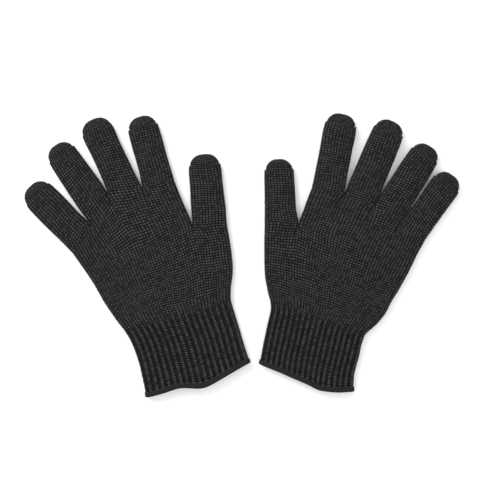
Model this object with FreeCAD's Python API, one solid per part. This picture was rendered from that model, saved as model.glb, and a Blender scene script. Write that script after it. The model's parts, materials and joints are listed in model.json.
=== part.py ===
"""A pair of seamless knitted cut-resistant gloves, lying flat with the palms up.

Each glove is one hollow knitted skin. It is built here as the tubes between its folds: three for
each finger, two for the thumb, the palm above and below the thumb crotch, the ribbed cuff with its
inlaid elastic, and the overlocked hem. The origin is on the table, in the middle of the pair. +X
runs from the right-hand glove to the left-hand glove, +Y to the fingertips and +Z up.
"""
import FreeCAD, Part
import math
import os

from FreeCAD import Vector

# Fabric, in mm
LAY = 9.6           # height of a glove lying flat and lightly filled with air
WALL = 1.7          # one layer of ten-gauge knit
CLEAR = 0.5         # each side of a finger stands this far in, clear of its neighbour
HEM = 4.0           # depth of the overlocked hem
HEM_PROUD = 0.4     # the hem stands this far outside the cuff
ELASTIC_TURNS = 9   # turns of inlaid elastic in a cuff
ELASTIC = 0.8       # width of a turn of elastic
ELASTIC_DEEP = 0.5  # depth of a turn of elastic
ELASTIC_PITCH = 4.2 # between turns of elastic

# Folds
SLIT = 0.3          # half the gap at a fold, from the table up to its axis
FOLD_HALF = 52.0    # half the angle of the notch above the axis, in degrees
AXIS_Z = LAY / 2    # height of every fold's axis
FINGER_FOLDS = (0.11, 0.43, 0.71)  # folds of a finger, as shares of its length
THUMB_FOLDS = (0.11, 0.55)         # folds of a thumb
OVERRUN = 14.0      # cavities run this far past an open end
STUB = 26.0         # a finger's tube runs this far back into the palm from its crotch
THUMB_STUB = 40.0   # the thumb's tube runs this far back into the palm from its crotch

# Where each glove lies: digits as (root x, y, heading in degrees, width, length to the tip)
PAIR_MIDDLE = (0.53, 0.55)  # the middle of the pair in the places below, which becomes the origin
RIGHT = {
    "side": "right",
    "closed": 120.0,  # heading along which the closed fingers lie side by side
    "digits": {
        "thumb": (-27.0, 28.8, 95.0, 28.2, 57.8),
        "index": (-70.5, 62.3, 105.6, 27.0, 57.9),
        "middle": (-101.1, 61.0, 114.9, 27.6, 60.3),
        "ring": (-125.4, 47.1, 124.7, 27.6, 56.8),
        "little": (-140.2, 19.5, 134.6, 28.2, 55.5),
    },
    "crotches": [(-84.3, 58.4), (-113.9, 55.1), (-130.0, 29.6)],
    "thumb_crotch": (-41.9, 27.1),
    "index_edge": (-57.0, 64.5),
    "little_edge": (-142.5, 2.0),
    "heel_edge": (-124.1, -23.7),
    "wrist": [(-99.5, -61.8), (-8.9, -36.4)],
    "thumb_edge": [(-6.8, -14.4), (-9.0, 8.5), (-12.4, 28.0)],
    "cuff_thumb_edge": [(-3.0, -56.7)],
    "mouth": [(7.0, -89.8), (-31.0, -111.5), (-54.5, -111.8), (-79.5, -119.5)],
    "cuff_little_edge": [(-87.0, -89.0)],
}
LEFT = {
    "side": "left",
    "closed": 64.5,
    "digits": {
        "thumb": (33.4, 29.6, 92.0, 26.2, 52.5),
        "index": (73.3, 55.1, 79.0, 27.4, 66.6),
        "middle": (99.7, 46.6, 67.1, 27.6, 73.4),
        "ring": (126.0, 39.6, 57.6, 27.3, 63.4),
        "little": (148.0, 24.8, 54.6, 25.6, 53.7),
    },
    "crotches": [(86.8, 52.5), (112.2, 42.4), (137.6, 32.2)],
    "thumb_crotch": (48.3, 28.0),
    "index_edge": (59.6, 57.8),
    "little_edge": (150.2, 4.2),
    "heel_edge": (134.2, -28.0),
    "wrist": [(106.5, -66.5), (25.0, -39.0)],
    "thumb_edge": [(20.0, -19.0), (19.4, 6.0), (19.6, 29.4)],
    "cuff_thumb_edge": [(23.3, -56.7)],
    "mouth": [(16.0, -91.0), (48.7, -105.0), (67.0, -113.0), (95.3, -114.3)],
    "cuff_little_edge": [(100.5, -84.0)],
}
FINGERS = ("index", "middle", "ring", "little")
SEGMENTS = ("proximal", "middle", "tip")
THUMB_SEGMENTS = ("proximal", "tip")


def heading(degrees):
    """The unit vector in the table's plane along a compass of +X = 0, +Y = 90."""
    return Vector(math.cos(math.radians(degrees)), math.sin(math.radians(degrees)), 0)


def flat(point):
    """A place on the table, counted from the middle of the pair."""
    return Vector(point[0] - PAIR_MIDDLE[0], point[1] - PAIR_MIDDLE[1], 0)


def meet(p, along_p, q, along_q):
    """Where the line through p meets the line through q; p itself when they run the same way."""
    cross = along_p.x * along_q.y - along_p.y * along_q.x
    if abs(cross) < 1e-3:
        return p
    step = ((q.x - p.x) * along_q.y - (q.y - p.y) * along_q.x) / cross
    return p + along_p * step


def outline_of(corners, kinds):
    """An outline whose edges move by their kind.

    The corners go round anticlockwise, and kinds has a letter for the edge that leaves each of them:
    s, a side that moves in by the inset; o, an open end that runs out; w, an end that keeps a wall.
    """
    count = len(corners)

    def outline(inset, run, z):
        shifts = {"s": inset, "o": -run, "w": WALL if run else 0.0}
        lines = []
        for i, kind in enumerate(kinds):
            along = (corners[(i + 1) % count] - corners[i]).normalize()
            lines.append((corners[i] + Vector(-along.y, along.x, 0) * shifts[kind], along))
        moved = [meet(*lines[i], *lines[i - 1]) + Vector(0, 0, z) for i in range(count)]
        return Part.makePolygon(moved + [moved[0]])

    return outline


def region(corners, kinds):
    """An outline through corners given either way round."""
    turns = [p.x * q.y - q.x * p.y for p, q in zip(corners, corners[1:] + corners[:1])]
    if sum(turns) > 0:
        return outline_of(corners, kinds)
    # Turned round, the edge that leaves corner i is the one that used to reach it
    return outline_of(corners[::-1], kinds[:-1][::-1] + kinds[-1])


def pillow(outline, low, high, inset=0.0, run=0.0):
    """A closed solid between two heights, with its side edges rounded and its ends square."""
    half = (high - low) / 2
    wires = []
    for lean in (-90, -45, 0, 45, 90):
        rise = half * math.sin(math.radians(lean))
        tuck = half * (1 - math.cos(math.radians(lean)))
        wires.append(outline(inset + tuck, run, low + half + rise))
    return Part.makeLoft(wires, True, True)


def outside(outline):
    """The outer form of a stretch of glove."""
    return pillow(outline, 0, LAY)


def inside(outline, deeper=0.0):
    """The cavity of a stretch of glove, which runs out through its open ends."""
    wall = WALL + deeper
    return pillow(outline, wall, LAY - wall, wall, OVERRUN)


def fold_notch(centre, along, half_length):
    """A slit below the fold's axis and a notch above it, across a stretch of glove."""
    over = LAY + 1.0
    spread = SLIT + (over - AXIS_Z) * math.tan(math.radians(FOLD_HALF))
    profile = [(-SLIT, -1.0), (SLIT, -1.0), (SLIT, AXIS_Z)]
    profile += [(spread, over), (-spread, over), (-SLIT, AXIS_Z)]
    across = Vector(-along.y, along.x, 0)
    corners = [centre - across * half_length + along * u + Vector(0, 0, z) for u, z in profile]
    face = Part.Face(Part.makePolygon(corners + [corners[0]]))
    return face.extrude(across * (2 * half_length))


class Digit:
    """One finger or thumb: its centre line, its width and its folds."""

    def __init__(self, row, closed, shares):
        x, y, degrees, self.width, self.length = row
        self.root = flat((x, y))
        self.along = heading(degrees)
        self.across = heading(degrees + 90)
        # A fold turned half-way to the closed heading brings the closed fingers side by side
        self.turn = math.radians((closed - degrees) / 2)
        self.fold_along = heading((degrees + closed) / 2)
        self.folds = [share * self.length for share in shares]

    def place(self, u, v):
        """The point u along the centre line from the root and v across it."""
        return self.root + self.along * u + self.across * v

    def on_fold(self, u, v):
        """The point at v across on the fold that crosses the centre line at u."""
        return self.place(u - v * math.tan(self.turn), v)

    def tube(self, start, end):
        """The outline of an open tube between two folds."""
        half = self.width / 2 - CLEAR
        corners = [self.on_fold(start, -half), self.on_fold(end, -half)]
        corners += [self.on_fold(end, half), self.on_fold(start, half)]
        return outline_of(corners, "soso")

    def tip(self, start):
        """The outline of a closed fingertip from a fold to its round end."""
        full = self.width / 2 - CLEAR

        def outline(inset, run, z):
            half = full - inset
            shoulder = self.length - full
            up = Vector(0, 0, z)
            a = self.on_fold(start - run, -half) + up
            b = self.place(shoulder, -half) + up
            top = self.place(shoulder + half, 0) + up
            c = self.place(shoulder, half) + up
            d = self.on_fold(start - run, half) + up
            round_end = Part.Arc(b, top, c).toShape()
            straights = [Part.makeLine(p, q) for p, q in ((a, b), (c, d), (d, a))]
            return Part.Wire([straights[0], round_end, straights[1], straights[2]])

        return outline

    def notch(self, u):
        """The cutter that frees the fold at u."""
        return fold_notch(self.on_fold(u, 0), self.fold_along, self.width / 2 + 1.0)

    def room(self):
        """A block over the digit's first stretch, which the palm keeps clear of."""
        half, start = self.width / 2, self.folds[0]
        end = start + self.length / 2
        corners = [self.on_fold(start, -half), self.on_fold(end, -half)]
        corners += [self.on_fold(end, half), self.on_fold(start, half)]
        face = Part.Face(Part.makePolygon(corners + [corners[0]]))
        face.translate(Vector(0, 0, -1))
        return face.extrude(Vector(0, 0, LAY + 2))

    def segments(self, names):
        """The digit's tubes from its root to its tip, by name."""
        ends = self.folds[1:] + [self.length]
        solids = {}
        for name, start, end in zip(names, self.folds, ends):
            last = name == names[-1]
            form = self.tip(start) if last else self.tube(start, end)
            solid = outside(form).cut(inside(form)).cut(self.notch(start))
            solids[name] = solid if last else solid.cut(self.notch(end))
        return solids


class Glove:
    """One glove: its digits, its palm in two stretches, its cuff and its hem."""

    def __init__(self, lay):
        self.lay = lay
        self.digits = {}
        for name, row in lay["digits"].items():
            thumb = name == "thumb"
            closed = row[2] if thumb else lay["closed"]
            self.digits[name] = Digit(row, closed, THUMB_FOLDS if thumb else FINGER_FOLDS)
        little_side, thumb_side = (flat(p) for p in lay["wrist"])
        self.wrist = (little_side + thumb_side) * 0.5
        self.wrist_half = (thumb_side - little_side).Length / 2
        across = (thumb_side - little_side).normalize()
        up_hand = Vector(-across.y, across.x, 0)
        self.up_hand = up_hand if up_hand.y > 0 else up_hand * -1

    def past_seam(self, upward):
        """A block on one side of the line across the palm at the thumb crotch."""
        p, q = flat(self.lay["little_edge"]), flat(self.lay["thumb_crotch"])
        along = (q - p).normalize()
        reach, depth = along * 120.0, (self.up_hand * 150.0 if upward else self.up_hand * -150.0)
        corners = [p - reach, q + reach, q + reach + depth, p - reach + depth]
        corners = [c - Vector(0, 0, 1) for c in corners]
        return Part.Face(Part.makePolygon(corners + [corners[0]])).extrude(Vector(0, 0, LAY + 2))

    def body(self, core, roots, stub, upward):
        """A stretch of palm with the roots of its digits, hollow, up to their first folds."""
        solid, cavity = outside(core), inside(core)
        for name in roots:
            digit = self.digits[name]
            root = digit.tube(-stub, digit.folds[0])
            solid = solid.fuse(outside(root))
            cavity = cavity.fuse(inside(root))
        solid = solid.common(self.past_seam(upward)).cut(cavity)
        for name in roots:
            digit = self.digits[name]
            solid = solid.cut(digit.notch(digit.folds[0])).cut(digit.room())
        # The cuts leave crumbs in the crotches, and the palm is the one large piece
        return max(solid.Solids, key=lambda piece: piece.Volume)

    def upper_palm(self):
        """The four-finger body, from the thumb crotch to the fingers' first folds."""
        lay = self.lay
        places = [lay["thumb_crotch"], lay["index_edge"]] + lay["crotches"] + [lay["little_edge"]]
        return self.body(region([flat(p) for p in places], "swwwwo"), FINGERS, STUB, True)

    def lower_palm(self):
        """The five-finger body, from the wrist to the thumb crotch and the thumb's first fold."""
        lay = self.lay
        places = [lay["thumb_crotch"], lay["little_edge"], lay["heel_edge"]]
        places += lay["wrist"] + lay["thumb_edge"]
        core = region([flat(p) for p in places], "ossosssw")
        solid = self.body(core, ["thumb"], THUMB_STUB, False)
        return solid.cut(fold_notch(self.wrist, self.up_hand, self.wrist_half + 3.0))

    def mouth_line(self, up):
        """The edge of the mouth from the thumb side to the little side, moved up the cuff."""
        return [flat(p) + self.up_hand * up for p in self.lay["mouth"]]

    def cuff_outline(self):
        """The ribbed cuff from the wrist fold to the hem."""
        lay = self.lay
        thumb_edge = [flat(p) for p in [lay["wrist"][1]] + lay["cuff_thumb_edge"]]
        little_edge = [flat(p) for p in lay["cuff_little_edge"] + [lay["wrist"][0]]]
        return region(thumb_edge + self.mouth_line(HEM) + little_edge, "ssooosso")

    def cuff(self):
        """The cuff's skin."""
        form = self.cuff_outline()
        notch = fold_notch(self.wrist, self.up_hand, self.wrist_half + 3.0)
        return outside(form).cut(inside(form)).cut(notch)

    def elastic(self):
        """The turns of elastic that lie against the inside of the cuff."""
        form = self.cuff_outline()
        lining = inside(form).cut(inside(form, ELASTIC_DEEP))
        across = Vector(self.up_hand.y, -self.up_hand.x, 0) * (self.wrist_half + 20.0)
        start = self.wrist - self.up_hand * 8.0
        turns = []
        for i in range(ELASTIC_TURNS):
            low = start - self.up_hand * (ELASTIC_PITCH * i) - Vector(0, 0, 1)
            band = self.up_hand * ELASTIC
            corners = [low - across, low + across, low + across + band, low - across + band]
            face = Part.Face(Part.makePolygon(corners + [corners[0]]))
            turns.append(lining.common(face.extrude(Vector(0, 0, LAY + 2))))
        return Part.makeCompound(turns)

    def hem(self):
        """The overlocked hem round the mouth."""
        form = region(self.mouth_line(0) + self.mouth_line(HEM)[::-1], "ooosooos")
        return pillow(form, 0, LAY + HEM_PROUD, -HEM_PROUD).cut(inside(form))

    def nodes(self):
        """Every node of the glove by name."""
        side = self.lay["side"]
        solids = {}
        for name, digit in self.digits.items():
            names = THUMB_SEGMENTS if name == "thumb" else SEGMENTS
            for segment, solid in digit.segments(names).items():
                solids[f"{side}_{name}_{segment}"] = solid
        solids[f"{side}_upper_palm"] = self.upper_palm()
        solids[f"{side}_lower_palm"] = self.lower_palm()
        solids[f"{side}_cuff"] = self.cuff()
        solids[f"{side}_cuff_elastic"] = self.elastic()
        solids[f"{side}_hem"] = self.hem()
        return solids


os.makedirs("parts", exist_ok=True)
GLOVES = [Glove(lay) for lay in (RIGHT, LEFT)]
for glove in GLOVES:
    for node, shape in glove.nodes().items():
        shape.exportStep(f"parts/{node}.step")
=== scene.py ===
"""A pair of seamless knitted cut-resistant gloves, lying flat with the palms up.

Each glove is knitted in one go on a ten-gauge glove machine: closed finger tubes, a palm that the
fingers and then the thumb join, a ribbed cuff with laid-in elastic, and an overlocked hem. Every
stretch between two folds is a closed shell of its own, with each stitch modelled on its outside.
Lengths in this file are in millimetres until a mesh is made, and +Y runs to the fingertips.
"""
import json
import logging
import math
from dataclasses import dataclass, field
from enum import Enum

import bmesh
import bpy
import numpy as np
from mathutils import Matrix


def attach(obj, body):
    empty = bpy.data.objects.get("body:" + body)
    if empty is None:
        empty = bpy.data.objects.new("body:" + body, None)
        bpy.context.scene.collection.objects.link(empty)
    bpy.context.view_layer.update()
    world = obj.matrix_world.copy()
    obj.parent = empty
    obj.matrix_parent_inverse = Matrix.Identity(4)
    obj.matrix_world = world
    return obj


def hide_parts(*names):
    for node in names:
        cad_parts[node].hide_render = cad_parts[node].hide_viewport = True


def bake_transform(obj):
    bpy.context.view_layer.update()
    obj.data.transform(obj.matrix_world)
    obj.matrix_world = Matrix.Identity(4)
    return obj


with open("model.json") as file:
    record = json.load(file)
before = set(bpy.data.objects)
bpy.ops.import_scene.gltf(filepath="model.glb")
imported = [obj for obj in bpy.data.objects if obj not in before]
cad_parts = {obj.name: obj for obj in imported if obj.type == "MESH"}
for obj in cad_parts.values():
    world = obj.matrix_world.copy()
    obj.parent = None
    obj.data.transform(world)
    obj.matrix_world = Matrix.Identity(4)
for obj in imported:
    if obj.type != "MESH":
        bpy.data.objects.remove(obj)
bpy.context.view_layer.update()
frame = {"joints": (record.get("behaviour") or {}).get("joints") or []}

LOG = logging.getLogger("gloves")
MM = 0.001
PAIR_MIDDLE = (0.53, 0.55)  # the middle of the pair in the places below, which becomes the origin
FINGER_SHARES = (0.11, 0.71)  # first and last fold of a finger, as shares of its length
THUMB_SHARES = (0.11, 0.55)  # the same for a thumb
FINGER_CUTS = (0.27, 0.57)  # where a finger's pieces meet, as shares of its length
THUMB_CUTS = (0.33,)  # the same for a thumb
FINGER_BEND = 6.5  # how far a finger's bend would spread each way from its fold
WRIST_BEND = 9.0  # the same at the wrist


class Side(Enum):
    """Which hand a glove is for."""

    RIGHT = "right"
    LEFT = "left"


class Stitch(Enum):
    """How a stretch is knitted."""

    PLAIN = "plain knit, a column of slanting legs on every needle"
    RIB = "one-by-one rib, with every other column turned to the inside"


@dataclass(frozen=True)
class Gauge:
    """The knit's sizes and stitch counts."""

    course: float = 1.95  # from one row of stitches to the next
    finger_wales: int = 12  # stitch columns on one face of a finger
    upper_wales: int = 40  # on one face of the palm below four fingers
    thumb_share: int = 11  # columns that the thumb adds to the palm
    cuff_wales: int = 36  # on one face of the cuff, so 18 ribs
    leg: float = 0.7  # how far a stitch's legs stand out of the fabric
    rib: float = 1.0  # from the top of a rib to the valley beside it
    spread: float = 0.15  # how far a rib spreads over the valleys beside it, in columns
    wall: float = 1.25  # fabric behind the legs
    lining: float = 0.55  # how much thicker it is behind ribs
    edge: float = 3.3  # radius of the fold along a glove's edge
    proud: float = 0.45  # how far the legs stand outside the fabric at a glove's edge
    crown: float = 1.3  # how much higher the middle of a face is than its edges
    lift: float = 0.7  # the underside's fabric above the table, under its legs
    gusset: float = 13.0  # length over which one tube turns into those that go on from it
    stitch: float = 2.6  # width of a stitch, which with a row's height scales the yarn's patterns


GAUGE = Gauge()


def smooth(value: np.ndarray) -> np.ndarray:
    """A value clipped to 0..1 and eased at both ends."""
    t = np.clip(value, 0.0, 1.0)
    return t * t * (3.0 - 2.0 * t)


def spot(point: tuple[float, float]) -> np.ndarray:
    """A place on the table, counted from the middle of the pair."""
    return np.array([point[0] - PAIR_MIDDLE[0], point[1] - PAIR_MIDDLE[1]])


class Line:
    """A smooth line on the table through a few places, read by its share of length."""

    def __init__(self, places: list[np.ndarray]) -> None:
        """Draws the line.

        Args:
            places: The points that the line goes through, in order.
        """
        points = np.array(places, float)
        if len(points) == 2:
            points = np.array([points[0], points.mean(0), points[1]])
        padded = np.vstack([2 * points[0] - points[1], points, 2 * points[-1] - points[-2]])
        dense = []
        for a, b, c, d in zip(padded, padded[1:], padded[2:], padded[3:]):
            t = np.linspace(0, 1, 24, endpoint=False)[:, None]
            bend = (2 * a - 5 * b + 4 * c - d) * t**2 + (3 * b - a - 3 * c + d) * t**3
            dense.append(0.5 * (2 * b + (c - a) * t + bend))
        self.points = np.vstack(dense + [points[-1:]])
        steps = np.linalg.norm(np.diff(self.points, axis=0), axis=1)
        self.at = np.concatenate([[0.0], np.cumsum(steps)])
        self.length = float(self.at[-1])

    def place(self, share: np.ndarray) -> np.ndarray:
        """Points of the line, which runs on straight past its ends.

        Args:
            share: Their shares of the line's length.

        Returns:
            The points.
        """
        d = np.asarray(share, float) * self.length
        inside = np.clip(d, 0.0, self.length)
        found = np.stack([np.interp(inside, self.at, self.points[:, k]) for k in (0, 1)], -1)
        first = (self.points[1] - self.points[0]) / self.at[1]
        last = (self.points[-1] - self.points[-2]) / (self.at[-1] - self.at[-2])
        before = np.minimum(d, 0.0)[..., None] * first
        after = np.maximum(d - self.length, 0.0)[..., None] * last
        return found + before + after


def lying_section(
    share: np.ndarray, half: np.ndarray, radius: np.ndarray, crown: np.ndarray
) -> tuple[np.ndarray, np.ndarray]:
    """One face of a flattened tube, from its left edge to its right edge.

    Args:
        share: 0 at the left edge, 1 at the right edge, by length along the fabric.
        half: Half the tube's width.
        radius: Radius of the fabric where it turns round an edge.
        crown: How much higher the middle is than the edges.

    Returns:
        How far across the tube each point is, and how far it is above the edges.
    """
    radius = np.minimum(radius, half * 0.95)
    quarter = math.pi * radius / 2
    length = 2 * (half - radius) + 2 * quarter
    d = share * length
    angle = np.clip(np.minimum(d, length - d) / np.maximum(radius, 1e-6), 0.0, math.pi / 2)
    tuck = radius * (1 - np.cos(angle))
    middle = d - quarter - (half - radius)
    x = np.where(d < quarter, tuck - half, np.where(d > length - quarter, half - tuck, middle))
    flat = np.clip(x / np.maximum(half - radius, 1e-6), -1.0, 1.0)
    return x, radius * np.sin(angle) + crown * (1 - flat**4) ** 2


def drape(x: np.ndarray, y: np.ndarray) -> np.ndarray:
    """Waves in the upper face, where the fabric isn't quite flat.

    Args:
        x: Places on the table, across.
        y: The same, up.

    Returns:
        How much higher the face lies there.
    """
    waves = 0.3 * np.sin(x / 17.0 + 0.6 * np.sin(y / 23.0)) * np.cos(y / 26.0 + 1.1)
    waves += 0.2 * np.sin(x / 8.0 + y / 12.0 + 2.0) + 0.14 * np.sin(y / 6.0 - x / 10.0)
    return waves


def slipped(plan: np.ndarray, loose: np.ndarray) -> np.ndarray:
    """Moves stitches along the table, as handling does.

    Args:
        plan: Places on the table.
        loose: How free each of them is to slip, from 0 to 1.

    Returns:
        The places that they have slipped to.
    """
    x, y = plan[..., 0], plan[..., 1]
    aside = 0.3 * np.sin(y / 4.1 + 1.4 * np.sin(x / 13.0)) + 0.34 * np.sin(x / 9.0 - y / 7.0)
    along = 0.3 * np.sin(x / 3.7 + 1.2 * np.sin(y / 11.0)) + 0.34 * np.sin(x / 8.0 + y / 10.0 + 1.0)
    return plan + np.stack([aside, along], -1) * loose[..., None]


def looseness(share: np.ndarray) -> np.ndarray:
    """How free a stitch is to slip, from 0 at a tube's edges to 1 inside it."""
    return smooth(np.minimum(share, 1 - share) / 0.15)


class Tube:
    """A flattened knitted tube. s counts stitch columns round it and t counts rows along it.

    s runs over the upper face from the left edge to the right one and back under the lower face.
    """

    wales: int = 12
    rows: int = 10

    def face(self, s: np.ndarray) -> tuple[np.ndarray, np.ndarray]:
        """Finds which face stitch columns are on.

        Args:
            s: The columns.

        Returns:
            Their shares across the face from its left edge, and whether it is the lower face.
        """
        turns = np.mod(s, 2 * self.wales)
        under = turns > self.wales
        share = np.where(under, 2 * self.wales - turns, turns) / self.wales
        return share, under

    def place(self, s: np.ndarray, t: np.ndarray, pressed: bool = False) -> np.ndarray:
        """Points of the fabric in millimetres, at columns s and rows t."""
        raise NotImplementedError

    def outward(self, s: np.ndarray, t: np.ndarray) -> np.ndarray:
        """Finds which way is out of the fabric.

        Args:
            s: Stitch columns.
            t: Rows.

        Returns:
            Directions of length 1.
        """
        step = 0.06
        ahead, behind = np.minimum(t + step, self.rows), np.minimum(t - step, self.rows - 2 * step)
        round_it = self.place(s + step, t) - self.place(s - step, t)
        along = self.place(s, ahead) - self.place(s, behind)
        normal = np.cross(round_it, along)
        return normal / np.maximum(np.linalg.norm(normal, axis=-1, keepdims=True), 1e-9)


class DigitTube(Tube):
    """A finger or thumb, from the crotches beside it to its closed tip."""

    def __init__(
        self,
        joints: tuple[np.ndarray, np.ndarray],
        shares: tuple[float, float],
        widths: tuple[float, ...],
        starts: tuple[np.ndarray, np.ndarray],
        wales: int,
    ) -> None:
        """Measures the digit.

        Args:
            joints: The places of the digit's first and last fold.
            shares: How far along the digit those folds are.
            widths: The digit's width from root to tip, evenly spaced.
            starts: Where its left and right edges leave the palm.
            wales: Stitch columns on one face.
        """
        first, last = joints
        self.along = (last - first) / np.linalg.norm(last - first)
        self.across = np.array([self.along[1], -self.along[0]])
        self.length = float(np.linalg.norm(last - first)) / (shares[1] - shares[0])
        self.root = first - self.along * shares[0] * self.length
        self.widths = widths
        self.wales = wales
        self.starts = [
            (float((p - self.root) @ self.along), float((p - self.root) @ self.across))
            for p in starts
        ]
        self.round_end = widths[-1] / 2 * 1.02
        self.straight = self.length - self.round_end
        self.path = self.straight + self.round_end * math.pi / 2
        self.rows = int(round(self.path / GAUGE.course))

    def reach(self, t: np.ndarray) -> tuple[np.ndarray, np.ndarray]:
        """Finds how far up the digit rows are.

        Args:
            t: The rows.

        Returns:
            How far along the centre line they are, and their turn round the closed end in radians.
        """
        d = t / self.rows * self.path
        turn = np.clip((d - self.straight) / self.round_end, 0.0, math.pi / 2)
        return np.minimum(d, self.straight) + self.round_end * np.sin(turn), turn

    def row_at(self, u: float) -> int:
        """The row that is u along the centre line."""
        return int(round(u / self.path * self.rows))

    def edge(self, side: int, u: np.ndarray, turn: np.ndarray) -> np.ndarray:
        """Finds an edge of the digit.

        Args:
            side: 0 for the left edge and 1 for the right one.
            u: Distances along the centre line.
            turn: The turn round the closed end there.

        Returns:
            The edge's distances from the centre line.
        """
        knots = np.linspace(0.02, 0.93, len(self.widths)) * self.length
        half = np.interp(u, knots, np.array(self.widths) / 2)
        half = (half - GAUGE.proud) * np.maximum(np.cos(turn), 0.0) ** 0.74
        # The end is closed like a sock's toe, and the end of that seam shows as a nick at each side
        before_end = self.length - u
        half = half + 0.3 * np.exp(-(((before_end - 9.4) / 1.3) ** 2))
        half = half - 0.3 * np.exp(-(((before_end - 7.4) / 1.0) ** 2))
        start_u, start_v = self.starts[side]
        gap = abs(start_v) - np.interp(start_u, knots, np.array(self.widths) / 2)
        return half + gap * (1 - smooth((u - start_u) / GAUGE.gusset))

    def place(self, s: np.ndarray, t: np.ndarray, pressed: bool = False) -> np.ndarray:
        """Lays the fabric.

        Args:
            s: Stitch columns.
            t: Rows.
            pressed: Whether the two faces are brought together.

        Returns:
            Points of the fabric in millimetres.
        """
        share, under = self.face(s)
        u, turn = self.reach(t)
        easing = (1 - np.clip(t / self.rows, 0.0, 1.0)) ** 2
        u_left, u_right = (u + start[0] * easing for start in self.starts)
        v_left, v_right = -self.edge(0, u_left, turn), self.edge(1, u_right, turn)
        half = (v_right - v_left) / 2
        # The tube thins towards its closed end, and its two edges start at their own crotches
        flat = np.maximum(np.cos(turn), 0.0) ** 0.6
        crown = np.where(under, 0.0, GAUGE.crown * flat)
        x, z = lying_section(share, half, GAUGE.edge * flat, crown)
        mix = (x + half) / (2 * half)
        u_here = u_left + (u_right - u_left) * mix
        v_here = (v_left + v_right) / 2 + x
        plan = self.root + u_here[..., None] * self.along + v_here[..., None] * self.across
        plan = slipped(plan, looseness(share) * flat)
        height = GAUGE.lift + GAUGE.edge * (0.4 + 0.6 * flat)
        rise = np.zeros_like(z) if pressed else np.where(under, -z, z)
        waves = drape(plan[..., 0], plan[..., 1]) * np.clip(rise / GAUGE.edge, 0.0, 1.0)
        return np.concatenate([plan, (height + rise + waves)[..., None]], -1)


class BodyTube(Tube):
    """A stretch of palm or cuff between a lower line and an upper line."""

    def __init__(
        self,
        left: Line,
        right: Line,
        lower: Line,
        upper: list[tuple[float, np.ndarray]],
        wales: int,
        rows: int,
        firm: float = 0.0,
    ) -> None:
        """Measures the stretch.

        Args:
            left: The left edge, from the lower line to the upper one.
            right: The right edge, the same way.
            lower: The lower line, from the left edge to the right one.
            upper: Places along the upper line, each with its share of the columns. The tubes that
                go on from there lie between them.
            wales: Stitch columns on one face.
            rows: Rows from the lower line to the upper one.
            firm: How firmly elastic below the upper rows holds the stitches in line, from 0 to 1.
        """
        self.left, self.right, self.lower = left, right, lower
        self.shares = np.array([share for share, _ in upper])
        self.upper = np.array([place for _, place in upper])
        self.wales, self.rows, self.firm = wales, rows, firm
        self.tall = (left.length + right.length) / 2

    def upper_place(self, share: np.ndarray) -> np.ndarray:
        """Points of the upper line."""
        return np.stack([np.interp(share, self.shares, self.upper[:, k]) for k in (0, 1)], -1)

    def plan(self, mix: np.ndarray, v: np.ndarray) -> np.ndarray:
        """Fills in the stretch between its four lines.

        Args:
            mix: Shares across the stretch, from the left edge.
            v: Shares up it.

        Returns:
            Places on the table.
        """
        low = self.lower.place(mix)
        high = self.upper_place(mix)
        inner = low * (1 - v)[..., None] + high * v[..., None]
        corners = []
        for edge, at in ((self.left, 0.0), (self.right, 1.0)):
            a, b = self.lower.place(np.array(at)), self.upper_place(np.array(at))
            corners.append(edge.place(v) - (a * (1 - v)[..., None] + b * v[..., None]))
        return inner + corners[0] * (1 - mix)[..., None] + corners[1] * mix[..., None]

    def place(self, s: np.ndarray, t: np.ndarray, pressed: bool = False) -> np.ndarray:
        """Lays the fabric.

        Args:
            s: Stitch columns.
            t: Rows.
            pressed: Whether the two faces are brought together.

        Returns:
            Points of the fabric in millimetres.
        """
        share, under = self.face(s)
        v = t / self.rows
        ends = self.left.place(v) - self.right.place(v)
        half = np.linalg.norm(ends, axis=-1) / 2
        crown = np.where(under, 0.0, GAUGE.crown)
        x, z = lying_section(share, half, np.full_like(half, GAUGE.edge), crown)
        mix = x * (half - GAUGE.proud) / half
        mix = (mix + half) / (2 * half)
        loose = looseness(share) * (1 - self.firm * smooth((self.rows - t) / 9.0))
        if len(self.shares) > 2:
            # Near its upper line the stretch parts into the sections of the tubes that go on
            k = np.searchsorted(self.shares, share, side="right") - 1
            k = np.clip(k, 0, len(self.shares) - 2)
            a, b = self.shares[k], self.shares[k + 1]
            wide = np.linalg.norm(self.upper[k + 1] - self.upper[k], axis=-1)
            x_on, z_on = lying_section(
                (share - a) / (b - a), wide / 2, np.full_like(wide, GAUGE.edge), crown
            )
            mix_on = a + (b - a) * (x_on * (1 - 2 * GAUGE.proud / wide) / wide + 0.5)
            join = smooth(1 - (1 - v) * self.tall / GAUGE.gusset)
            loose = loose * (1 - join) + looseness((share - a) / (b - a)) * join
            mix = mix * (1 - join) + mix_on * join
            z = z * (1 - join) + z_on * join
        plan = self.plan(mix, v)
        plan = slipped(plan, loose)
        rise = np.zeros_like(z) if pressed else np.where(under, -z, z)
        waves = drape(plan[..., 0], plan[..., 1]) * np.clip(rise / GAUGE.edge, 0.0, 1.0)
        return np.concatenate([plan, (GAUGE.lift + GAUGE.edge + rise + waves)[..., None]], -1)


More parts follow.
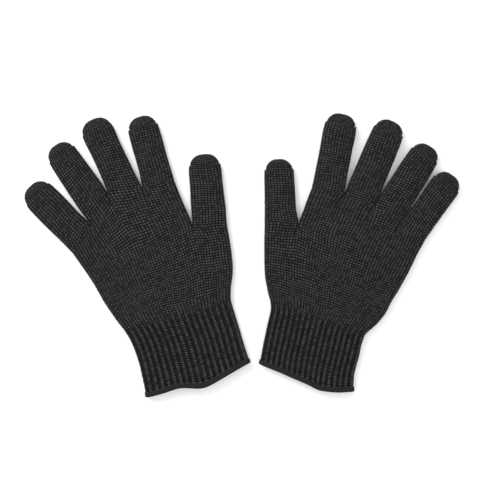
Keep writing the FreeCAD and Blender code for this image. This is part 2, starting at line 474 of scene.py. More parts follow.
@dataclass(frozen=True)
class Legs:
    """Where the vertices of one stitch go: six across it, by four along it."""

    columns: int = 6
    rows: tuple[float, ...] = (0.0, 0.3, 0.6, 0.88)
    crest: tuple[float, ...] = (0.15, 0.235, 0.32, 0.40)
    high: tuple[float, ...] = (0.5, 1.0, 0.97, 0.46)

    def across(self) -> np.ndarray:
        """Spreads the vertices so that a stitch's two legs lean towards each other.

        Returns:
            Places across the stitch, by row and vertex.
        """
        table = []
        for crest in self.crest:
            flank = (crest + 0.5) / 2 + 0.03
            table.append([0.0, crest, flank, 0.5, 1 - flank, 1 - crest])
        return np.array(table)

    def heights(self) -> tuple[np.ndarray, np.ndarray]:
        """Heights of the yarn, 0 to 1, by row and vertex.

        Returns:
            The heights on a knit stitch's face, and on its back.
        """
        shape = np.array([0.0, 0.95, 1.0, 0.42, 1.0, 0.95])
        plain = np.array(self.high)[:, None] * shape
        # The back shows the loops' heads, as short bars across the column
        bars = np.array([0.2, 0.7, 0.7, 0.2])[:, None] * np.array([0.2, 0.8, 1.0, 1.0, 1.0, 0.8])
        return plain, bars


LEGS = Legs()


class KnitSkin:
    """Knits the outside of a tube stitch by stitch and lines it with a plain inner wall."""

    def __init__(self, tube: Tube, first: int, last: int, stitch: Stitch = Stitch.PLAIN) -> None:
        """Chooses what to knit.

        Args:
            tube: The tube to knit.
            first: The row that the piece starts at.
            last: The row that it ends at.
            stitch: How it is knitted.
        """
        self.tube, self.first, self.last, self.stitch = tube, first, last, stitch
        self.closed = isinstance(tube, DigitTube) and last == tube.rows

    def relief(self, s: np.ndarray, t: np.ndarray, legs: np.ndarray) -> np.ndarray:
        """Raises the stitches.

        Args:
            s: Stitch columns of the vertices.
            t: Their rows.
            legs: Height of the yarn there, from 0 to 1.

        Returns:
            How far out of the fabric they stand, in millimetres.
        """
        out = legs * GAUGE.leg
        if self.stitch is Stitch.RIB:
            valley = (0.5 + 0.5 * np.cos(np.pi * (s + 0.5))) ** 1.6
            out = out - GAUGE.rib * self.ribbed(t) * valley
        if isinstance(self.tube, DigitTube):
            # The seam at the closed end draws in a crease, and the last row closes to a point
            _, turn = self.tube.reach(t)
            out = out - 0.5 * np.exp(-(((turn - 0.42) / 0.05) ** 2))
            out = out * np.clip((self.tube.rows - t) / 0.6, 0.0, 1.0)
        return out

    def ribbed(self, t: np.ndarray) -> np.ndarray:
        """How far the ribs have set in at rows t, from 0 in the plain knit above to 1."""
        return smooth((self.tube.rows - 3.0 - t) / 6.0) * (self.stitch is Stitch.RIB)

    def outer(self) -> tuple[np.ndarray, np.ndarray, np.ndarray, np.ndarray]:
        """Knits the outside.

        Returns:
            By row and column of the grid: the points in millimetres, the height of the yarn, and
            the stitch columns and rows.
        """
        tube, per_row = self.tube, len(LEGS.rows)
        columns = np.arange(2 * tube.wales * LEGS.columns + 1)
        wale, k = columns // LEGS.columns, columns % LEGS.columns
        j = np.arange((self.last - self.first) * per_row + 1)
        m = j % per_row
        s = wale[None, :] + LEGS.across()[m[:, None], k[None, :]]
        t = self.first + (j // per_row + np.array(LEGS.rows)[m])[:, None] + np.zeros_like(s)
        knit, purl = (table[m[:, None], k[None, :]] for table in LEGS.heights())
        legs = knit + (purl - knit) * self.ribbed(t) * (wale % 2)[None, :]
        # No two stitches are quite as tight as each other: a hash of column and row, from 0 to 1
        course = np.floor(t + 1e-6)
        tight = np.sin((wale[None, :] % (2 * tube.wales)) * 12.9898 + course * 78.233) * 43758.5453
        legs = legs * (0.78 + 0.38 * (tight - np.floor(tight)))
        out = self.relief(s, t, legs)
        # The last column of the grid is the first one again
        out[:, -1] = out[:, 0]
        # The ribs close up, so the columns that face out spread over those that face in
        around = s + GAUGE.spread * self.ribbed(t) * np.sin(np.pi * (s - 0.5))
        points = tube.place(around, t) + tube.outward(around, t) * out[..., None]
        points[..., 2] = np.maximum(points[..., 2], 0.0)
        points[:, -1] = points[:, 0]
        return points, legs, s, t

    def inner(self, outer: np.ndarray, s: np.ndarray) -> np.ndarray:
        """Lines the outside.

        Args:
            outer: The outside's points by row and column, which the lining meets at open ends.
            s: The outside's stitch columns.

        Returns:
            The lining's points, by row and column.
        """
        tube = self.tube
        low, high = self.first + 0.4, self.last - (2.6 if self.closed else 0.4)
        # The lining is smooth, so a row of faces every four rows of stitches is enough
        steps = np.linspace(low, high, max(3, int((high - low) / 4) + 2))
        s_in = np.broadcast_to(s[:1], (len(steps), s.shape[1]))
        t_in = np.broadcast_to(steps[:, None], s_in.shape)
        deep = np.full(s_in.shape, GAUGE.wall)
        if self.stitch is Stitch.RIB:
            deep = deep + GAUGE.lining
        if self.closed:
            _, turn = tube.reach(t_in)
            deep = deep * np.maximum(np.cos(turn), 0.0)
        lining = tube.place(s_in, t_in) - tube.outward(s_in, t_in) * deep[..., None]
        lining[:, -1] = lining[:, 0]
        if self.closed:
            end = tube.place(s_in[-1:], t_in[-1:] + 0.5, pressed=True)
            end[:, -1] = end[:, 0]
            return np.concatenate([outer[:1], lining, end])
        return np.concatenate([outer[:1], lining, outer[-1:]])

    def make(self, name: str) -> bpy.types.Object:
        """Knits the piece as a closed shell.

        Args:
            name: The piece's name.

        Returns:
            The finished object.
        """
        points, legs, s, t = self.outer()
        lining = self.inner(points, s)
        # Painted shade: the lining's yarn height lies below the knit material's lit range, so the
        # inside of the tube is painted with the holes' black.
        lining_shade = np.full(lining.shape[:2], 0.35)
        s_in = np.broadcast_to(s[:1], lining_shade.shape)
        t_in = np.broadcast_to(np.linspace(self.first, self.last, len(lining))[:, None], lining_shade.shape)
        return cloth_object(name, [(points, legs, s, t), (lining, lining_shade, s_in, t_in)])


def cloth_object(
    name: str, grids: list[tuple[np.ndarray, np.ndarray, np.ndarray, np.ndarray]]
) -> bpy.types.Object:
    """Lays one or more flat grids over a surface and welds them where their edges meet.

    Args:
        name: The piece's name.
        grids: For each grid, the points in millimetres by row and column, the height of the yarn
            there from 0 to 1, and the stitch column and row.

    Returns:
        The finished object.
    """
    shell = bmesh.new()
    for index, (points, height, s, t) in enumerate(grids):
        rows, columns = points.shape[:2]
        patch = bmesh.new()
        bmesh.ops.create_grid(patch, x_segments=columns - 1, y_segments=rows - 1, size=1.0)
        flat = bpy.data.meshes.new("patch")
        patch.to_mesh(flat)
        patch.free()
        count = len(flat.vertices)
        co = np.empty(count * 3, np.float32)
        flat.vertices.foreach_get("co", co)
        co = co.reshape(-1, 3)
        column = np.rint((co[:, 0] + 1) / 2 * (columns - 1)).astype(int)
        row = np.rint((co[:, 1] + 1) / 2 * (rows - 1)).astype(int)
        flat.vertices.foreach_set("co", (points[row, column] * MM).astype(np.float32).ravel())
        # The knit and hem materials paint shade from this height of the yarn.
        yarn = flat.attributes.new("yarn", "FLOAT", "POINT")
        yarn.data.foreach_set("value", height[row, column].astype(np.float32))
        wall = flat.attributes.new("wall", "INT", "FACE")
        wall.data.foreach_set("value", np.full(len(flat.polygons), index, np.int32))
        corners = np.empty(len(flat.loops), np.int32)
        flat.loops.foreach_get("vertex_index", corners)
        uv = np.stack([s[row, column], t[row, column]], -1)[corners]
        layer = flat.uv_layers.new(name="stitches")
        layer.data.foreach_set("uv", uv.astype(np.float32).ravel())
        shell.from_mesh(flat)
        bpy.data.meshes.remove(flat)
    bmesh.ops.remove_doubles(shell, verts=shell.verts[:], dist=2e-6)
    bmesh.ops.dissolve_degenerate(shell, dist=1e-7, edges=shell.edges[:])
    bmesh.ops.recalc_face_normals(shell, faces=shell.faces[:])
    for face in shell.faces:
        face.smooth = True
    # The knit is shaded apart from its lining, so that it runs on from piece to piece
    wall = shell.faces.layers.int["wall"]
    for edge in shell.edges:
        edge.smooth = len({face[wall] for face in edge.link_faces}) < 2
    mesh = bpy.data.meshes.new(name)
    shell.to_mesh(mesh)
    shell.free()
    piece = bpy.data.objects.new(name, mesh)
    bpy.context.scene.collection.objects.link(piece)
    return piece


def linear(hex_colour: str) -> tuple[float, float, float, float]:
    """Turns an sRGB colour to linear.

    Args:
        hex_colour: The colour as "#rrggbb".

    Returns:
        Linear red, green, blue and an alpha of 1.
    """
    parts = [int(hex_colour[i : i + 2], 16) / 255 for i in (1, 3, 5)]
    bent = [c / 12.92 if c <= 0.04045 else ((c + 0.055) / 1.055) ** 2.4 for c in parts]
    return (bent[0], bent[1], bent[2], 1.0)


def add(tree: bpy.types.NodeTree, kind: str, settings: dict, links: dict) -> bpy.types.Node:
    """Adds a node.

    Args:
        tree: The node tree that it goes in.
        kind: The node's type.
        settings: Its own properties by name, and its inputs' values by number or name in "inputs".
        links: For each of its inputs, the output that feeds it.

    Returns:
        The node.
    """
    node = tree.nodes.new(kind)
    for key, value in settings.items():
        if key != "inputs":
            setattr(node, key, value)
    for key, value in settings.get("inputs", {}).items():
        node.inputs[key].default_value = value
    for key, output in links.items():
        tree.links.new(output, node.inputs[key])
    return node


def started(
    name: str, roughness: float, specular: float
) -> tuple[bpy.types.Material, bpy.types.Node]:
    """Starts a material.

    Args:
        name: The material's name.
        roughness: How matt it is.
        specular: How strongly it reflects, where 0.5 is plain plastic.

    Returns:
        The material and its shader.
    """
    material = bpy.data.materials.new(name)
    material.use_nodes = True
    shader = material.node_tree.nodes["Principled BSDF"]
    shader.inputs["Roughness"].default_value = roughness
    shader.inputs["Specular IOR Level"].default_value = specular
    return material, shader


@dataclass(frozen=True)
class CutResistantYarn:
    """Black polyethylene yarn round a steel core, knitted and left unfinished.

    It is a matt near-black with a faint nap. The holes between the stitches' legs are painted black
    as shade, light flecks on the legs stand for the steel core's fibres and for painted glints, and
    the filaments twist along each leg.
    """

    name: str = "cut_resistant_yarn"
    warm: str = "#3e3d38"
    cool: str = "#36373c"
    # Painted shade: the black that fills the holes between the stitches' legs.
    hole_shade: str = "#000000"
    # Painted highlight: light flecks on the legs, partly the steel core's fibres and partly painted
    # glints off the filaments.
    fleck_and_glint: str = "#82817d"
    roughness: float = 0.78
    dye_mm: float = 71.4  # across a patch where the dye took a little warmer or cooler
    filament_mm: float = 0.22  # a filament bundle, drawn coarse enough to show
    glint_mm: float = 0.886  # how far a filament stays on top before it twists under

    def make(self) -> bpy.types.Material:
        """Builds the material.

        Returns:
            The material.
        """
        material, shader = started(self.name, self.roughness, 0.15)
        tree = material.node_tree
        shader.inputs["Sheen Weight"].default_value = 0.04
        shader.inputs["Sheen Roughness"].default_value = 0.5
        where = add(tree, "ShaderNodeTexCoord", {}, {})
        dye = add(
            tree,
            "ShaderNodeTexNoise",
            {"inputs": {"Scale": 1 / (self.dye_mm * MM), "Detail": 2.0}},
            {"Vector": where.outputs["Object"]},
        )
        cloth = add(
            tree,
            "ShaderNodeMix",
            {"data_type": "RGBA", "inputs": {6: linear(self.warm), 7: linear(self.cool)}},
            {0: dye.outputs["Fac"]},
        )
        # One stitch is 1 by 1 on this map, so sizes become shares of a stitch
        stitches = add(tree, "ShaderNodeUVMap", {"uv_map": "stitches"}, {})
        scale = (GAUGE.stitch / self.filament_mm, GAUGE.course / self.glint_mm, 1.0)
        twist = add(
            tree,
            "ShaderNodeMapping",
            {"inputs": {"Rotation": (0.0, 0.0, 0.5), "Scale": scale}},
            {"Vector": stitches.outputs["UV"]},
        )
        filaments = add(
            tree,
            "ShaderNodeTexNoise",
            {"inputs": {"Scale": 1.0, "Detail": 3.0, "Roughness": 0.6}},
            {"Vector": twist.outputs["Vector"]},
        )
        # Painted highlight: where the filament noise is high the legs take the light fleck colour,
        # partly steel fibres and partly painted glints.
        bright = add(
            tree,
            "ShaderNodeMapRange",
            {"inputs": {"From Min": 0.52, "From Max": 0.78, "To Max": 0.55}},
            {"Value": filaments.outputs["Fac"]},
        )
        flecked_and_glinted = add(
            tree,
            "ShaderNodeMix",
            {"data_type": "RGBA", "inputs": {7: linear(self.fleck_and_glint)}},
            {0: bright.outputs["Result"], 6: cloth.outputs[2]},
        )
        # Painted shade: where the yarn's height drops into the holes between the legs, the colour
        # goes to black.
        yarn = add(tree, "ShaderNodeAttribute", {"attribute_name": "yarn"}, {})
        unshaded_yarn = add(
            tree,
            "ShaderNodeMapRange",
            {"interpolation_type": "SMOOTHSTEP", "inputs": {"From Min": 0.48, "From Max": 0.96}},
            {"Value": yarn.outputs["Fac"]},
        )
        shaded = add(
            tree,
            "ShaderNodeMix",
            {"data_type": "RGBA", "inputs": {6: linear(self.hole_shade)}},
            {0: unshaded_yarn.outputs["Result"], 7: flecked_and_glinted.outputs[2]},
        )
        raised = add(
            tree,
            "ShaderNodeBump",
            {"inputs": {"Strength": 0.35, "Distance": self.filament_mm * MM}},
            {"Height": filaments.outputs["Fac"]},
        )
        tree.links.new(shaded.outputs[2], shader.inputs["Base Color"])
        tree.links.new(raised.outputs["Normal"], shader.inputs["Normal"])
        return material


@dataclass(frozen=True)
class HemThread:
    """Spun polyester overlock thread, black and lightly waxed for the needle.

    It is darker and a little glossier than the yarn, and its threads lie side by side on a slant.
    Its colour is painted near-black in the grooves between the threads, as shade, and along the
    mouth's lip.
    """

    name: str = "hem_thread"
    colour: str = "#1b1b1c"
    # Near-black painted into the grooves between the threads as shade, and along the mouth's lip.
    edge: str = "#010101"
    roughness: float = 0.75
    ply_mm: float = 0.289  # one of the thread's plies

    def make(self) -> bpy.types.Material:
        """Builds the material.

        Returns:
            The material.
        """
        material, shader = started(self.name, self.roughness, 0.2)
        tree = material.node_tree
        yarn = add(tree, "ShaderNodeAttribute", {"attribute_name": "yarn"}, {})
        # Painted shade: the yarn height here darkens the grooves between the threads' ridges.
        shade = add(
            tree,
            "ShaderNodeMix",
            {"data_type": "RGBA", "inputs": {6: linear(self.edge), 7: linear(self.colour)}},
            {0: yarn.outputs["Fac"]},
        )
        stitches = add(tree, "ShaderNodeUVMap", {"uv_map": "stitches"}, {})
        ply = add(
            tree,
            "ShaderNodeTexNoise",
            {"inputs": {"Scale": GAUGE.stitch / self.ply_mm, "Detail": 2.0}},
            {"Vector": stitches.outputs["UV"]},
        )
        raised = add(
            tree,
            "ShaderNodeBump",
            {"inputs": {"Strength": 0.3, "Distance": self.ply_mm / 2 * MM}},
            {"Height": ply.outputs["Fac"]},
        )
        tree.links.new(shade.outputs[2], shader.inputs["Base Color"])
        tree.links.new(raised.outputs["Normal"], shader.inputs["Normal"])
        return material


@dataclass(frozen=True)
class CoveredRubber:
    """Natural rubber thread wound with black nylon, laid in behind the ribs.

    The winding shows as fine rings along the thread, painted darker between its turns as shade.
    """

    name: str = "covered_rubber"
    colour: str = "#2a2a2c"
    # Painted shade between the turns of the winding.
    groove_shade: str = "#161617"
    roughness: float = 0.55
    winding_mm: float = 0.4  # turns of the cover, drawn coarse enough to show

    def make(self) -> bpy.types.Material:
        """Builds the material.

        Returns:
            The material.
        """
        material, shader = started(self.name, self.roughness, 0.5)
        tree = material.node_tree
        stitches = add(tree, "ShaderNodeUVMap", {"uv_map": "stitches"}, {})
        rings = add(
            tree,
            "ShaderNodeTexWave",
            {"inputs": {"Scale": GAUGE.stitch / self.winding_mm, "Distortion": 0.6}},
            {"Vector": stitches.outputs["UV"]},
        )
        # Painted shade: the colour darkens in the grooves between the winding's turns.
        shade = add(
            tree,
            "ShaderNodeMix",
            {"data_type": "RGBA", "inputs": {6: linear(self.groove_shade), 7: linear(self.colour)}},
            {0: rings.outputs["Fac"]},
        )
        tree.links.new(shade.outputs[2], shader.inputs["Base Color"])
        return material


@dataclass
class Finishes:
    """The gloves' three materials."""

    knit: bpy.types.Material = field(default_factory=lambda: CutResistantYarn().make())
    thread: bpy.types.Material = field(default_factory=lambda: HemThread().make())
    elastic: bpy.types.Material = field(default_factory=lambda: CoveredRubber().make())


@dataclass(frozen=True)
class Elastic:
    """The covered rubber thread in a cuff."""

    turns: int = 9
    first: float = 5.0  # row of the lowest turn
    pitch: float = 2.15  # rows between turns
    radius: float = 0.4
    slack: float = 0.02  # between the thread and the lining
    steps: int = 144  # points round the cuff
    sides: int = 8


@dataclass(frozen=True)
class Overlock:
    """The seam that binds the mouth. Its section goes up the outside, over and down the inside."""

    stitches: int = 112
    per_stitch: int = 5  # points along a stitch
    ridge: float = 0.4  # how far a thread stands out of the seam
    lean: float = 0.2  # how many stitches a thread leans over in a millimetre
    up: tuple[float, ...] = (
        -0.1, 0.45, 1.3, 2.4, 3.4, 4.1, 4.3, 3.6, 2.2, 0.8, 0.1, -0.35, -0.45, -0.1
    )
    out: tuple[float, ...] = (
        1.0, 1.05, 1.0, 0.95, 0.85, 0.55, 0.0, -2.0, -2.1, -2.1, -1.9, -1.0, 0.2, 1.0
    )
    threaded: tuple[float, ...] = (
        0.2, 0.8, 1.0, 1.0, 1.0, 0.8, 0.3, 0.6, 1.0, 0.8, 0.3, 0.0, 0.0, 0.2
    )


@dataclass
class Lay:
    """How one glove lies: places on the table in millimetres."""

    side: Side
    digits: dict[str, tuple[float, ...]]  # widths from root to tip
    crotches: list[tuple[float, float]]  # between the fingers, from the index finger
    thumb_crotch: tuple[float, float]
    index_edge: tuple[float, float]
    index_side: list[tuple[float, float]]  # from the thumb crotch to the index finger
    little_edge: tuple[float, float]
    little_side: list[tuple[float, float]]  # from the wrist up to the little finger
    side_split: int  # where little_side passes from the lower palm to the upper one
    thumb_side: list[tuple[float, float]]  # from the wrist up to the thumb
    cuff_little: list[tuple[float, float]]  # from the mouth to the wrist
    cuff_thumb: list[tuple[float, float]]
    mouth: list[tuple[float, float]]  # from the left end to the right end
    upper_rows: int
    lower_rows: int
    cuff_rows: int


RIGHT = Lay(
    side=Side.RIGHT,
    digits={
        "thumb": (29.3, 29.6, 28.8, 28.0, 27.9, 27.0),
        "index": (27.4, 26.6, 26.4, 26.9, 26.5, 26.0),
        "middle": (27.5, 27.3, 26.7, 26.7, 27.7, 28.4),
        "ring": (28.3, 28.3, 27.8, 27.0, 26.4, 26.2),
        "little": (27.6, 27.8, 28.6, 28.6, 28.4, 27.4),
    },
    crotches=[(-84.3, 58.4), (-113.9, 55.1), (-130.0, 29.6)],
    thumb_crotch=(-41.9, 27.1),
    index_edge=(-57.0, 64.5),
    index_side=[(-45.6, 37.0), (-50.3, 47.6)],
    little_edge=(-142.5, 2.0),
    little_side=[(-107.0, -53.0), (-116.7, -38.5), (-124.3, -25.0), (-130.5, -15.5)],
    side_split=3,
    thumb_side=[(-9.0, -27.0), (-7.3, -10.0), (-9.3, 10.0), (-12.4, 28.0)],
    cuff_little=[(-80.8, -119.3), (-83.4, -106.0), (-87.4, -89.0), (-92.8, -74.3), (-98.4, -64.1)],
    cuff_thumb=[(7.0, -89.8), (2.0, -74.0), (-3.0, -56.7), (-8.6, -38.0)],
    mouth=[(-66.0, -115.6), (-52.0, -111.3), (-33.5, -111.0), (-19.0, -104.8), (-2.0, -94.5)],
    upper_rows=21,
    lower_rows=26,
    cuff_rows=37,
)
LEFT = Lay(
    side=Side.LEFT,
    digits={
        "thumb": (27.3, 26.7, 26.3, 25.8, 25.2, 24.2),
        "index": (27.5, 27.5, 27.5, 27.5, 28.0, 26.6),
        "middle": (28.1, 28.4, 28.3, 28.1, 27.5, 26.4),
        "ring": (27.8, 27.6, 27.3, 27.2, 26.4, 25.0),
        "little": (25.2, 25.0, 25.0, 25.5, 25.9, 24.7),
    },
    crotches=[(86.8, 52.5), (112.2, 42.4), (137.6, 32.2)],
    thumb_crotch=(48.3, 28.0),
    index_edge=(59.6, 57.8),
    index_side=[(51.8, 37.6), (55.8, 48.4)],
    little_edge=(150.2, 4.2),
    little_side=[(115.2, -57.0), (121.9, -48.8), (127.2, -38.6), (133.6, -28.3), (141.8, -13.5)],
    side_split=4,
    thumb_side=[(22.2, -29.5), (19.8, -15.0), (19.3, 6.0), (19.6, 29.4)],
    cuff_little=[
        (94.9, -114.3),
        (95.9, -100.0),
        (100.0, -84.4),
        (102.2, -74.5),
        (104.8, -67.0),
        (109.0, -62.6),
    ],
    cuff_thumb=[(15.4, -91.0), (18.3, -75.0), (22.1, -57.0), (24.9, -42.5)],
    mouth=[(31.0, -97.5), (48.7, -105.0), (58.0, -109.0), (67.0, -113.0), (81.0, -114.6)],
    upper_rows=20,
    lower_rows=27,
    cuff_rows=35,
)


class Glove:
    """One glove, made piece by piece, with its palm, elastic and hem on the frame's bodies."""

    def __init__(self, lay: Lay, finishes: Finishes) -> None:
        """Gets ready to make the glove.

        Args:
            lay: How the glove lies.
            finishes: The materials to dress it in.
        """
        self.lay, self.finishes = lay, finishes
        self.side = lay.side.value
        self.mirrored = lay.side is Side.LEFT  # its thumb lies on the left of its fingers
        self.joints = {joint["name"]: joint for joint in frame["joints"]}

    def joint_place(self, name: str) -> np.ndarray:
        """A joint's place on the table, in millimetres."""
        return np.array(self.joints[f"{self.side}_{name}"]["pos_m"][:2]) / MM

    def dress(self, piece: bpy.types.Object, material: bpy.types.Material) -> None:
        """Gives a piece its finish.

        Args:
            piece: The piece.
            material: Its material.
        """
        piece.data.materials.append(material)
        LOG.info("%s: %d faces", piece.name, len(piece.data.polygons))

    def bend(self, piece: bpy.types.Object, joint: str, reach: float) -> None:
        """Applies a piece's transform to its mesh.

        Args:
            piece: The piece.
            joint: The joint's name without its side; not used.
            reach: How far a bend would spread each way, in millimetres, from the parent to the
                child; not used.
        """
        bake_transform(piece)

    def ordered(self, near_thumb: object, near_little: object) -> tuple:
        """The two things as left and right."""
        return (near_thumb, near_little) if self.mirrored else (near_little, near_thumb)

    def digit(self, name: str) -> DigitTube:
        """Finds the tube of one digit.

        Args:
            name: The digit.

        Returns:
            Its tube.
        """
        lay = self.lay
        thumb = name == "thumb"
        edges = [lay.index_edge] + lay.crotches + [lay.little_edge]
        if thumb:
            starts = (lay.thumb_side[-1], lay.thumb_crotch)
        else:
            k = ("index", "middle", "ring", "little").index(name)
            starts = (edges[k], edges[k + 1])
        ends = "mid_joint" if thumb else "end_joint"
        return DigitTube(
            (self.joint_place(f"{name}_root"), self.joint_place(f"{name}_{ends}")),
            THUMB_SHARES if thumb else FINGER_SHARES,
            lay.digits[name],
            self.ordered(spot(starts[0]), spot(starts[1])),
            GAUGE.finger_wales,
        )

    def knit_digit(self, name: str) -> None:
        """Knits a digit in pieces that each cross one fold.

        Args:
            name: The digit.
        """
        tube = self.digit(name)
        folds, cuts = {"root": "proximal", "mid_joint": "middle", "end_joint": "tip"}, FINGER_CUTS
        if name == "thumb":
            folds, cuts = {"root": "proximal", "mid_joint": "tip"}, THUMB_CUTS
        ends = [0] + [tube.row_at(cut * tube.length) for cut in cuts] + [tube.rows]
        for (joint, segment), first, last in zip(folds.items(), ends, ends[1:]):
            piece = KnitSkin(tube, first, last).make(f"{self.side}_{name}_{segment}_knit")
            self.dress(piece, self.finishes.knit)
            self.bend(piece, f"{name}_{joint}", FINGER_BEND)
            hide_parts(f"{self.side}_{name}_{segment}")

    def upper_palm(self) -> BodyTube:
        """Finds the palm below the four fingers.

        Returns:
            Its tube.
        """
        lay = self.lay
        corner = spot(lay.little_side[lay.side_split])
        little = Line([corner, spot(lay.little_edge)])
        index = Line([spot(lay.thumb_crotch), *map(spot, lay.index_side), spot(lay.index_edge)])
        left, right = self.ordered(index, little)
        places = [lay.index_edge, *lay.crotches, lay.little_edge]
        upper = [spot(p) for p in (places if self.mirrored else places[::-1])]
        lower = Line(list(self.ordered(spot(lay.thumb_crotch), corner)))
        shares = [(k / 4, place) for k, place in enumerate(upper)]
        return BodyTube(left, right, lower, shares, GAUGE.upper_wales, lay.upper_rows)

    def lower_palm(self) -> BodyTube:
        """Finds the palm from above the wrist to the thumb crotch and the thumb.

        Returns:
            Its tube.
        """
        lay = self.lay
        little = Line([spot(p) for p in lay.little_side[: lay.side_split + 1]])
        thumb = Line([spot(p) for p in lay.thumb_side])
        left, right = self.ordered(thumb, little)
        wales = GAUGE.upper_wales + GAUGE.thumb_share
        split = GAUGE.upper_wales / wales
        first, last = self.ordered(spot(lay.thumb_side[-1]), spot(lay.little_side[lay.side_split]))
        crotch = (1 - split if self.mirrored else split, spot(lay.thumb_crotch))
        upper = [(0.0, first), crotch, (1.0, last)]
        ends = self.ordered(spot(lay.thumb_side[0]), spot(lay.little_side[0]))
        return BodyTube(left, right, Line(list(ends)), upper, wales, lay.lower_rows)

    def cuff(self) -> BodyTube:
        """Finds the ribbed cuff, from the mouth to above the wrist.

        Returns:
            Its tube.
        """
        lay = self.lay
        little = Line([spot(p) for p in lay.cuff_little] + [spot(lay.little_side[0])])
        thumb = Line([spot(p) for p in lay.cuff_thumb] + [spot(lay.thumb_side[0])])
        left, right = self.ordered(thumb, little)
        ends = self.ordered(spot(lay.cuff_thumb[0]), spot(lay.cuff_little[0]))
        lower = Line([ends[0], *map(spot, lay.mouth), ends[1]])
        tops = self.ordered(spot(lay.thumb_side[0]), spot(lay.little_side[0]))
        upper = [(0.0, tops[0]), (1.0, tops[1])]
        return BodyTube(left, right, lower, upper, GAUGE.cuff_wales, lay.cuff_rows, firm=0.7)

    def knit_palm(self) -> None:
        """Knits both stretches of the palm."""
        for node, tube in (("upper_palm", self.upper_palm()), ("lower_palm", self.lower_palm())):
            piece = KnitSkin(tube, 0, tube.rows).make(f"{self.side}_{node}_knit")
            self.dress(piece, self.finishes.knit)
            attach(piece, f"{self.side}_palm")
            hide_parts(f"{self.side}_{node}")

    def knit_cuff(self) -> None:
        """Knits the ribs, lays in the elastic and sews the hem."""
        tube = self.cuff()
        ribs = KnitSkin(tube, 0, tube.rows, Stitch.RIB).make(f"{self.side}_cuff_rib_knit")
        self.dress(ribs, self.finishes.knit)
        self.bend(ribs, "wrist", WRIST_BEND)
        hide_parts(f"{self.side}_cuff")
        elastic = self.lay_elastic(tube, Elastic())
        self.dress(elastic, self.finishes.elastic)
        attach(elastic, f"{self.side}_cuff")
        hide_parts(f"{self.side}_cuff_elastic")
        hem = self.sew_hem(tube, Overlock())
        self.dress(hem, self.finishes.thread)
        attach(hem, f"{self.side}_cuff")
        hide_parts(f"{self.side}_hem")

    def ring(
        self, tube: BodyTube, steps: int, rows: np.ndarray, out: np.ndarray
    ) -> tuple[np.ndarray, np.ndarray, np.ndarray]:
        """Lays a closed band round a tube.

        Args:
            tube: The tube that the band goes round.
            steps: Points round the tube.
            rows: Rows on the tube of the points of the band's section, as a column.
            out: How far out of the fabric they are, in millimetres: a column, or a column for each
                point round the tube.

        Returns:
            The band's points by section and place round the tube, and their columns and rows.
        """
        s = np.linspace(0, 2 * tube.wales, steps + 1)[None, :] + np.zeros_like(rows)
        t = rows + np.zeros_like(s)
        points = tube.place(s, t) + tube.outward(s, t) * (out + np.zeros_like(s))[..., None]
        points[..., 2] = np.maximum(points[..., 2], 0.0)
        points[:, -1] = points[:, 0]
        points[-1] = points[0]
        return points, s, t

    def lay_elastic(self, tube: BodyTube, elastic: Elastic) -> bpy.types.Object:
        """Lays the turns of covered rubber against the inside of the ribs.

        Args:
            tube: The cuff.
            elastic: The thread's sizes.

        Returns:
            The thread.
        """
        grids = []
        angles = np.linspace(0, 2 * math.pi, elastic.sides + 1)[:, None]
        deep = GAUGE.wall + GAUGE.lining + elastic.radius + elastic.slack
        for turn in range(elastic.turns):
            middle = elastic.first + turn * elastic.pitch
            rows = middle + np.cos(angles) * elastic.radius / GAUGE.course
            out = np.sin(angles) * elastic.radius - deep
            points, s, t = self.ring(tube, elastic.steps, rows, out)
            grids.append((points, np.ones(points.shape[:2]), s, t))
        return cloth_object(f"{self.side}_cuff_elastic_thread", grids)

    def sew_hem(self, tube: BodyTube, seam: Overlock) -> bpy.types.Object:
        """Sews the seam that binds the mouth, with its threads on a slant.

        Args:
            tube: The cuff.
            seam: The seam's sizes.

        Returns:
            The seam.
        """
        steps = seam.stitches * seam.per_stitch
        up, out, threaded = (np.array(row)[:, None] for row in (seam.up, seam.out, seam.threaded))
        place = np.arange(steps + 1)[None, :] / seam.per_stitch
        ridge = (0.5 + 0.5 * np.cos(2 * math.pi * (place + up * seam.lean))) ** 0.7
        raised = out + seam.ridge * threaded * ridge * np.sign(out + 0.5)
        points, s, t = self.ring(tube, steps, up / GAUGE.course, raised)
        # Painted shade: the colour darkens in the grooves between the ridges, and goes near-black
        # where the section carries little or no thread, as along the mouth's lip.
        shade = threaded * (0.1 + 0.9 * ridge)
        return cloth_object(f"{self.side}_hem_overlock", [(points, shade, s, t)])

    def build(self) -> None:
        """Makes every piece of the glove."""
        self.knit_palm()
        for name in self.lay.digits:
            self.knit_digit(name)
        self.knit_cuff()


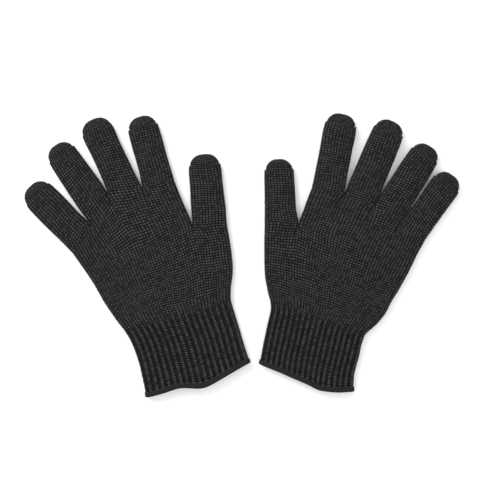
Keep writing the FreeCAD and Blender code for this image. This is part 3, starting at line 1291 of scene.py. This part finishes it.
@dataclass(frozen=True)
class Studio:
    """A pale table under soft light, seen from straight above."""

    field_mm: float = 425.6  # what the camera sees of the table, from edge to edge
    look_at: tuple[float, float] = (6.7, 4.9)
    lens: float = 110.0
    sensor: float = 36.0
    glow: float = 1.1  # strength of the light from all round

    def floor(self) -> None:
        """Lays the table."""
        grid = bmesh.new()
        bmesh.ops.create_grid(grid, x_segments=1, y_segments=1, size=6.0)
        mesh = bpy.data.meshes.new("table")
        grid.to_mesh(mesh)
        grid.free()
        table = bpy.data.objects.new("table", mesh)
        bpy.context.scene.collection.objects.link(table)
        material = bpy.data.materials.new("white_paper")
        material.use_nodes = True
        shader = material.node_tree.nodes["Principled BSDF"]
        shader.inputs["Base Color"].default_value = linear("#f7f7f7")
        shader.inputs["Roughness"].default_value = 0.9
        table.data.materials.append(material)

    def light(
        self, name: str, place: tuple[float, float, float], size: float, watts: float
    ) -> None:
        """Hangs a square soft light that faces the middle of the table.

        Args:
            name: The light's name.
            place: Where it hangs, in metres.
            size: The length of its sides, in metres.
            watts: Its power.
        """
        lamp = bpy.data.lights.new(name, "AREA")
        lamp.shape = "SQUARE"
        lamp.size = size
        lamp.energy = watts
        item = bpy.data.objects.new(name, lamp)
        bpy.context.scene.collection.objects.link(item)
        item.location = place
        x, y, z = place
        item.rotation_euler = (math.atan2(math.hypot(x, y), z), 0.0, math.atan2(x, -y))

    def build(self) -> None:
        """Makes the table, the lights and the camera."""
        self.floor()
        world = bpy.data.worlds.new("studio")
        world.use_nodes = True
        background = world.node_tree.nodes["Background"]
        background.inputs["Color"].default_value = (1.0, 1.0, 1.0, 1.0)
        background.inputs["Strength"].default_value = self.glow
        scene = bpy.context.scene
        scene.world = world
        scene.view_settings.view_transform = "Standard"
        self.light("window", (-1.0, 1.1, 1.0), 1.0, 27.0)
        self.light("fill", (1.0, -0.6, 1.2), 1.0, 4.0)
        camera = bpy.data.cameras.new("camera")
        camera.lens, camera.sensor_width = self.lens, self.sensor
        camera.clip_start, camera.clip_end = 0.01, 20.0
        eye = bpy.data.objects.new("camera", camera)
        scene.collection.objects.link(eye)
        away = self.field_mm / self.sensor * self.lens
        eye.location = (self.look_at[0] * MM, self.look_at[1] * MM, away * MM)
        scene.camera = eye


def main() -> None:
    """Builds the pair of gloves and the studio."""
    logging.basicConfig(level=logging.INFO, format="%(message)s")
    Studio().build()
    finishes = Finishes()
    for lay in (RIGHT, LEFT):
        Glove(lay, finishes).build()


if __name__ == "__main__":
    main()
